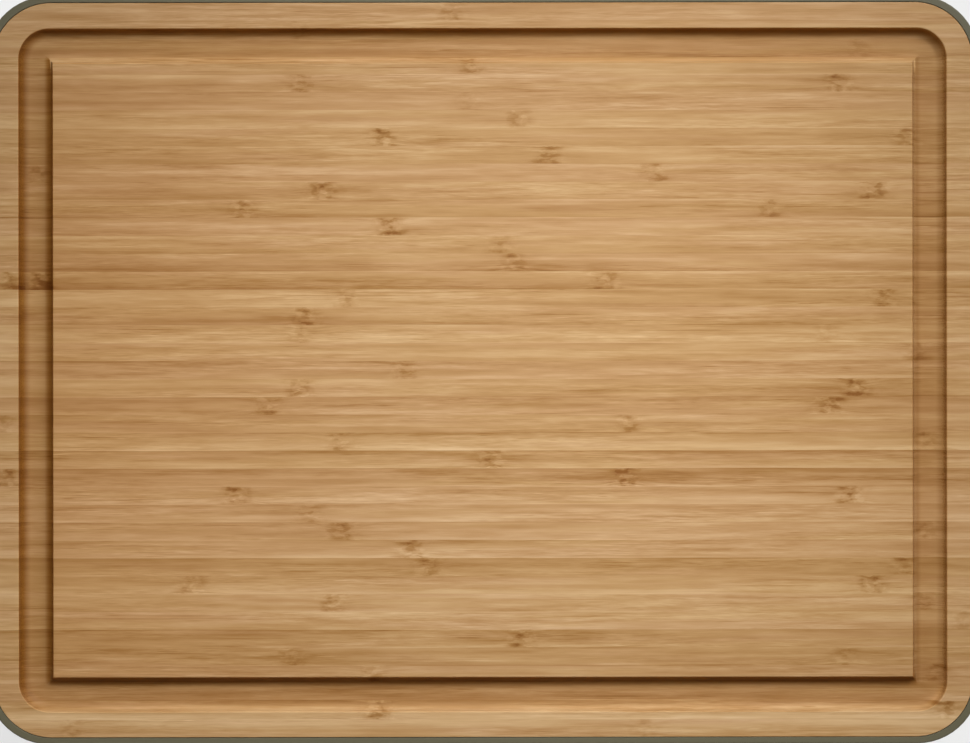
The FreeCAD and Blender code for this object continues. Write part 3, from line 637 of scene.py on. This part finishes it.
    def stain_and_shade_groove(self, color):
        """Darkens the groove with stain and painted shade, and above all the end grain with oil and
        painted shade, where fibres show as dots; painted shade also warms the shadowed sides.
        """
        groove = self.step(self.stored_number("groove"), *GROOVE_STAIN_AND_SHADE_SHARES)
        color = self.stain_and_shade(color, groove, GROOVE_STAIN_AND_SHADE)
        color = self.stain_and_shade(color, self.stored_number("oil_and_shade"), END_GRAIN_STAIN_AND_SHADE)
        color = self.stain_and_shade(color, self.stored_number("shade_warmth"), WARM_SHADE)
        cells = self.node("TexVoronoi", voronoi_dimensions="2D")
        self.put(cells.inputs["Vector"], self.join(self.y, self.z, 0.0))
        self.put(cells.inputs["Scale"], END_DOT_SCALE)
        dots = self.minus(1.0, self.step(cells.outputs["Distance"], *END_DOT_EDGES))
        ends = self.step(self.absolute(self.split(self.normal())[0]), *END_FACE_EDGES)
        return self.stain_and_shade(color, self.times(ends, dots, END_DOT_SHARE), END_GRAIN_STAIN_AND_SHADE)

    def finished(self, half_x, half_y):
        """The whole material, with the raised middle's half length and half width."""
        color = self.stain_and_shade_groove(self.shade_raised_ends(self.wood(), half_x, half_y))
        roughness = self.add(BAMBOO_ROUGHNESS, self.times(self.streaks, STREAK_ROUGHNESS))
        height = self.add(self.fine, self.times(self.streaks, STREAK_BUMP_SHARE))
        normal = self.bump(height, BAMBOO_BUMP, BAMBOO_BUMP_STRENGTH)
        return self.finish(color, roughness, normal, Specular_IOR_Level=BAMBOO_SPECULAR)


def toned(color, tone_shares):
    """Stops of a ramp: the colour, lighter or darker by each share."""
    return [(place, tuple(share * value for value in color)) for place, share in tone_shares]


def moulded_plastic(slot):
    """Moulded plastic: a fine even texture, with slight clouds of tone and gloss."""
    color, roughness, texture, strength = PLASTICS[slot]
    plastic = Material(slot)
    place = plastic.position()
    clouds = plastic.noise(place, PLASTIC_CLOUD_SCALE, detail=3.0)
    grain = plastic.noise(place, 1 / texture, roughness=0.6)
    tone = plastic.choose(PLASTIC_CLOUD_SHARE, grain, clouds)
    tint = plastic.ramp(tone, toned(color, PLASTIC_TONE_SHARES))
    gloss = plastic.times(plastic.add(clouds, grain, -1.0), PLASTIC_GLOSS_SWING)
    normal = plastic.bump(grain, PLASTIC_BUMP, strength)
    rough = plastic.add(roughness, gloss)
    return plastic.finish(tint, rough, normal, Specular_IOR_Level=PLASTIC_SPECULAR)


def soft_rubber(slot):
    """Soft rubber: matt, with a grainy skin."""
    rubber = Material(slot)
    place = rubber.position()
    grain = rubber.noise(place, 1 / RUBBER_GRAIN, detail=3.0, roughness=0.7)
    dust = rubber.noise(place, RUBBER_DUST_SCALE)
    tone = rubber.choose(RUBBER_DUST_SHARE, grain, dust)
    tint = rubber.ramp(tone, toned(RUBBERS[slot], RUBBER_TONE_SHARES))
    rough = rubber.add(RUBBER_ROUGHNESS, rubber.times(grain, RUBBER_ROUGHNESS_SWING))
    normal = rubber.bump(grain, RUBBER_BUMP, RUBBER_BUMP_STRENGTH)
    return rubber.finish(tint, rough, normal, Specular_IOR_Level=RUBBER_SPECULAR)


def screw_steel():
    """Plain steel with fine turning marks."""
    steel = Material("screw_steel")
    marks = steel.noise(steel.position(), 1 / STEEL_MARKS)
    rough = steel.add(STEEL_ROUGHNESS, steel.times(marks, STEEL_ROUGHNESS_SWING))
    normal = steel.bump(marks, STEEL_BUMP, STEEL_BUMP_STRENGTH)
    return steel.finish(steel.ramp(marks, STEEL_TONES), rough, normal, Metallic=1.0)


def add_object(name, data):
    thing = bpy.data.objects.new(name, data)
    bpy.context.collection.objects.link(thing)
    return thing


def rounded_loop(half_x, half_y, radius, z):
    """A rounded rectangle, anticlockwise, with the same count of points for every radius."""
    radius = max(radius, 0)
    points = []
    for quarter in range(4):
        turn = quarter * math.pi / 2
        sign_x = 1 if quarter in (0, 3) else -1
        sign_y = 1 if quarter in (0, 1) else -1
        centre_x = sign_x * (half_x - radius)
        centre_y = sign_y * (half_y - radius)
        for step in range(CORNER_STEPS + 1):
            angle = turn + step / CORNER_STEPS * math.pi / 2
            points.append((centre_x + radius * math.cos(angle), centre_y + radius * math.sin(angle), z))
    return points


def arc(centre, radius, start, end):
    """Points of a section along an arc. The angles, in degrees, turn from inward towards upward."""
    points = []
    for step in range(ROUND_STEPS + 1):
        angle = math.radians(start + (end - start) * step / ROUND_STEPS)
        points.append((centre[0] + radius * math.cos(angle), centre[1] + radius * math.sin(angle)))
    return points


def board_section(low, high):
    """From the bottom up the side, through the groove and onto the raised middle: inset, height."""
    outer = GROOVE_INSET
    inner = GROOVE_INSET + GROOVE_WIDTH
    floor = high - GROOVE_DEPTH
    return (
        arc((BOARD_ROUND, low + BOARD_ROUND), BOARD_ROUND, 270, 180)
        + arc((BOARD_ROUND, high - BOARD_ROUND), BOARD_ROUND, 180, 90)
        + arc((outer - GROOVE_EASE, high - GROOVE_EASE), GROOVE_EASE, 90, 0)
        + arc((outer + GROOVE_ROUND, floor + GROOVE_ROUND), GROOVE_ROUND, 180, 270)
        + arc((inner - GROOVE_ROUND, floor + GROOVE_ROUND), GROOVE_ROUND, 270, 360)
        + arc((inner + GROOVE_EASE, high - GROOVE_EASE), GROOVE_EASE, 180, 90)
    )


def pad_section(half_height):
    """From the bottom up the side and over the crowned shoulder: inset, height."""
    section = [(PAD_ROUND, -half_height), (0, PAD_ROUND - half_height)]
    for step in range(ROUND_STEPS + 1):
        angle = step / ROUND_STEPS * math.pi / 2
        inset = PAD_SHOULDER * (1 - math.cos(angle))
        section.append((inset, half_height - PAD_CROWN * (1 - math.sin(angle))))
    return section


def skin(work, loops):
    """Closes a row of loops of points to a solid, with a cap at each end."""
    rings = [[work.verts.new(point) for point in loop] for loop in loops]
    count = len(rings[0])
    for lower, upper in zip(rings, rings[1:]):
        for index in range(count):
            ahead = (index + 1) % count
            work.faces.new((lower[index], lower[ahead], upper[ahead], upper[index]))
    work.faces.new(rings[0][::-1])
    work.faces.new(rings[-1])
    bmesh.ops.remove_doubles(work, verts=work.verts, dist=MERGE_DISTANCE)


def smooth_mesh(name, work):
    """A mesh that is shaded smooth, apart from its sharp edges."""
    mesh = bpy.data.meshes.new(name)
    work.to_mesh(mesh)
    work.free()
    mesh.shade_smooth()
    mesh.set_sharp_from_angle(angle=math.radians(SHARP_DEGREES))
    return mesh


def corner_radius(inset):
    if inset < GROOVE_INSET - GROOVE_EASE:
        return BOARD_CORNER - inset
    return GROOVE_CORNER + GROOVE_INSET - inset


def board_mesh(low, high, pitch):
    """The board's surface, cut along the seams so that each strip can carry its own grain."""
    work = bmesh.new()
    loops = []
    for inset, height in board_section(low.z, high.z):
        loops.append(rounded_loop(high.x - inset, high.y - inset, corner_radius(inset), height))
    skin(work, loops)
    bmesh.ops.dissolve_degenerate(work, edges=work.edges, dist=MERGE_DISTANCE)
    for seam in range(1, len(STRIP_SHARES)):
        everything = work.verts[:] + work.edges[:] + work.faces[:]
        place = (0, high.y - seam * pitch, 0)
        bmesh.ops.bisect_plane(work, geom=everything, plane_co=place, plane_no=(0, 1, 0))
    work.normal_update()
    return smooth_mesh("bamboo_board", work)


def new_columns(mesh, names, kind, domain):
    """Adds columns of numbers to a mesh. They are looked up once all of them are there."""
    for name in names:
        mesh.attributes.new(name, kind, domain)
    return [mesh.attributes[name].data for name in names]


def store_strips(mesh, low, high, pitch):
    """Writes each strip's numbers on its faces: tones, seeds, and the knuckles with their darkness."""
    luck = random.Random(STRIP_SEED)
    strips = []
    for left, right, lean, knuckles in STRIP_SHARES:
        seeds = (luck.random(), luck.random(), luck.random())
        unused = MOST_KNUCKLES - len(knuckles)
        places = [low.x + share * (high.x - low.x) for share, dark in knuckles] + [FAR_AWAY] * unused
        darkness = [dark for share, dark in knuckles] + [0.0] * unused
        strips.append(((left, right, lean), seeds, places, darkness))
    names = ("strip_tones", "strip_seeds", "knuckle_places", "knuckle_darkness")
    columns = new_columns(mesh, names, "FLOAT_VECTOR", "FACE")
    for face in mesh.polygons:
        row = int((high.y - face.center.y) / pitch)
        numbers = strips[min(max(row, 0), len(strips) - 1)]
        for column, value in zip(columns, numbers):
            column[face.index].vector = value


def oil_and_shade_on(side, half, steepness):
    """How dark and how warm the oil and the painted shade make a side, where it is this steep."""
    start, full, dark_share, warm_share = OIL_AND_SHADE_SHARES[side, half]
    amount = min(max((steepness - start) / (full - start), 0), 1)
    return Vector((dark_share * amount, warm_share * amount))


def groove_oil_and_shade(vertex, high):
    """The oil and painted shade at a point in the groove. At the outer corners, one side's oil and shade
    fade into the next one's.
    """
    inset_x = high.x - abs(vertex.co.x)
    inset_y = high.y - abs(vertex.co.y)
    steepness = vertex.normal.xy.length
    end_side = "left" if vertex.co.x < 0 else "right"
    long_side = "front" if vertex.co.y < 0 else "back"
    if min(inset_x, inset_y) < GROOVE_INSET + GROOVE_WIDTH / 2:
        turn = (vertex.normal.x / steepness) ** 2 if steepness else 0
        oil_and_shade = oil_and_shade_on(long_side, "outer", steepness).lerp(oil_and_shade_on(end_side, "outer", steepness), turn)
    elif inset_x < inset_y:
        oil_and_shade = oil_and_shade_on(end_side, "inner", abs(vertex.normal.x))
    else:
        oil_and_shade = oil_and_shade_on(long_side, "inner", abs(vertex.normal.y))
    return oil_and_shade * min((high.z - vertex.co.z) / EASE_OIL_AND_SHADE_DEPTH, 1)


def store_groove(mesh, low, high):
    """Writes how deep in the groove each point lies, and how much oil and painted shade it takes."""
    columns = new_columns(mesh, ("groove", "oil_and_shade", "shade_warmth"), "FLOAT", "POINT")
    for vertex in mesh.vertices:
        inset = min(high.x - abs(vertex.co.x), high.y - abs(vertex.co.y))
        if inset > GROOVE_INSET / 2 and vertex.co.z > (low.z + high.z) / 2:
            depth_share = (high.z - vertex.co.z) / GROOVE_DEPTH
            stain_and_shade = groove_oil_and_shade(vertex, high)
        else:
            depth_share = 0
            stain_and_shade = oil_and_shade_on("ends", "board", abs(vertex.normal.x))
        for column, value in zip(columns, (depth_share, *stain_and_shade)):
            column[vertex.index].value = value


def make_board():
    """The bamboo board, which stands for the CAD board."""
    low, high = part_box("cutting_board")
    pitch = (high.y - low.y) / len(STRIP_SHARES)
    mesh = board_mesh(low, high, pitch)
    store_strips(mesh, low, high, pitch)
    store_groove(mesh, low, high)
    raised_inset = GROOVE_INSET + GROOVE_WIDTH
    bamboo = Bamboo(pitch, low.y, high.z)
    mesh.materials.append(bamboo.finished(high.x - raised_inset, high.y - raised_inset))
    board = add_object("bamboo_board", mesh)
    weigh = board.modifiers.new("even_shading", "WEIGHTED_NORMAL")
    weigh.mode = "FACE_AREA_WITH_ANGLE"
    weigh.keep_sharp = True
    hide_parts("cutting_board")
    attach(board, "board")


def make_pads(material):
    """The soft strips that the board lies on: half-round ends and a crowned top."""
    for subpart in frame["record"]["subparts"]:
        if subpart["material_slot"] != "soft_pad":
            continue
        low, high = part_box(subpart["node"])
        half = (high - low) / 2
        loops = []
        for inset, height in pad_section(half.z):
            loops.append(rounded_loop(half.x - inset, half.y - inset, half.y - inset, height))
        work = bmesh.new()
        skin(work, loops)
        bmesh.ops.translate(work, verts=work.verts, vec=(low + high) / 2)
        mesh = smooth_mesh(f"soft_{subpart['node']}", work)
        mesh.materials.append(material)
        pad = add_object(mesh.name, mesh)
        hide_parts(subpart["node"])
        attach(pad, "housing")


def dress_nodes():
    """Gives each CAD node that shows the material of its slot in the record."""
    materials = {slot: moulded_plastic(slot) for slot in PLASTICS}
    materials["foot_rubber"] = soft_rubber("foot_rubber")
    materials["screw_steel"] = screw_steel()
    for subpart in frame["record"]["subparts"]:
        material = materials.get(subpart["material_slot"])
        if material:
            mesh = frame["nodes"][subpart["node"]].data
            mesh.materials.clear()
            mesh.materials.append(material)


def make_floor():
    """A wide pale floor with a faint clouding."""
    pale = Material("pale_floor")
    clouds = pale.noise(pale.position(), FLOOR_CLOUD_SCALE, detail=3.0)
    tint = pale.ramp(clouds, FLOOR_TONES)
    material = pale.finish(tint, FLOOR_ROUGHNESS, Specular_IOR_Level=FLOOR_SPECULAR)
    glow = pale.node("Emission")
    pale.put(glow.inputs["Color"], FLOOR_SEEN_COLOR)
    share = pale.times(pale.seen(), FLOOR_SEEN_SHARE)
    mixed = pale.mix_shaders(share, pale.surface.outputs[0], glow.outputs[0])
    pale.put(pale.tree.nodes["Material Output"].inputs["Surface"], mixed)
    mesh = bpy.data.meshes.new("floor")
    signs = ((-1, -1), (1, -1), (1, 1), (-1, 1))
    corners = [(sign_x * FLOOR_REACH, sign_y * FLOOR_REACH, 0) for sign_x, sign_y in signs]
    mesh.from_pydata(corners, [], [(0, 1, 2, 3)])
    mesh.materials.append(material)
    floor = add_object("floor", mesh)


def add_light(name, kind, energy, color, towards):
    data = bpy.data.lights.new(name, kind)
    data.energy = energy
    data.color = color
    light = add_object(name, data)
    light.rotation_euler = towards.to_track_quat("Z", "Y").to_euler()
    return light


def make_soft_box():
    """Rows and columns of spots, which face the board together."""
    towards = BOX_PLACE - BOX_AIM
    rightward = Vector((0, 1, 0)).cross(towards).normalized()
    upward = towards.cross(rightward).normalized()
    energy = BOX_ENERGY / BOX_ROWS / BOX_COLUMNS
    for row in range(BOX_ROWS):
        row_step = row - (BOX_ROWS - 1) / 2
        aim = BOX_AIM + Vector((0, row_step * BOX_AIM_SPACING, 0))
        for column in range(BOX_COLUMNS):
            column_step = column - (BOX_COLUMNS - 1) / 2
            place = BOX_PLACE + rightward * column_step * BOX_COLUMN_SPACING
            place += upward * row_step * BOX_ROW_SPACING
            spot = add_light(f"soft_box_{row}_{column}", "SPOT", energy, SPOT_COLOR, place - aim)
            spot.location = place
            spot.data.spot_size = 2 * math.atan(BOX_REACH / (place - aim).length)
            spot.data.spot_blend = 1.0
            spot.data.shadow_soft_size = SPOT_RADIUS


def make_sky():
    """A sky that is brightest at the horizon, and that the camera sees as an even pale grey."""
    world = bpy.data.worlds.new("studio")
    world.use_nodes = True
    bpy.context.scene.world = world
    sky = Nodes(world.node_tree)
    light = sky.tree.nodes["Background"]
    sky.put(light.inputs["Color"], SKY_COLOR)
    height = sky.split(sky.node("TexCoord").outputs["Generated"])[2]
    strength = sky.step(height, 0.0, HORIZON_SINE, HORIZON_STRENGTH, SKY_STRENGTH)
    sky.put(light.inputs["Strength"], strength)
    pale = sky.node("Background")
    sky.put(pale.inputs["Color"], SKY_SEEN_COLOR)
    mixed = sky.mix_shaders(sky.seen(), light.outputs[0], pale.outputs[0])
    sky.put(sky.tree.nodes["World Output"].inputs["Surface"], mixed)


def make_lights():
    """A soft box near the board, a sun for the rest, and the sky."""
    make_soft_box()
    sun = add_light("sun", "SUN", SUN_ENERGY, SUN_COLOR, SUN_PLACE)
    sun.data.angle = math.radians(SUN_ANGLE_DEGREES)
    make_sky()


def make_camera():
    """Straight above the board, framed as the photograph is."""
    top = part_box("cutting_board")[1].z
    data = bpy.data.cameras.new("camera")
    data.lens = LENS_MM
    data.sensor_width = SENSOR_MM
    data.sensor_fit = "HORIZONTAL"
    distance = PHOTO_WIDTH_PX * METRES_PER_PX * LENS_MM / SENSOR_MM
    right = (PHOTO_WIDTH_PX / 2 - BOARD_MIDDLE_PX[0]) * METRES_PER_PX
    up = (BOARD_MIDDLE_PX[1] - PHOTO_HEIGHT_PX / 2) * METRES_PER_PX
    camera = add_object("camera", data)
    camera.location = (right, up, top + distance)
    camera.rotation_euler.z = math.radians(CAMERA_TURN_DEGREES)
    bpy.context.scene.camera = camera


make_camera()
make_lights()
make_floor()
make_board()
make_pads(soft_rubber("soft_pad"))
dress_nodes()
bpy.context.scene.view_settings.view_transform = "Standard"
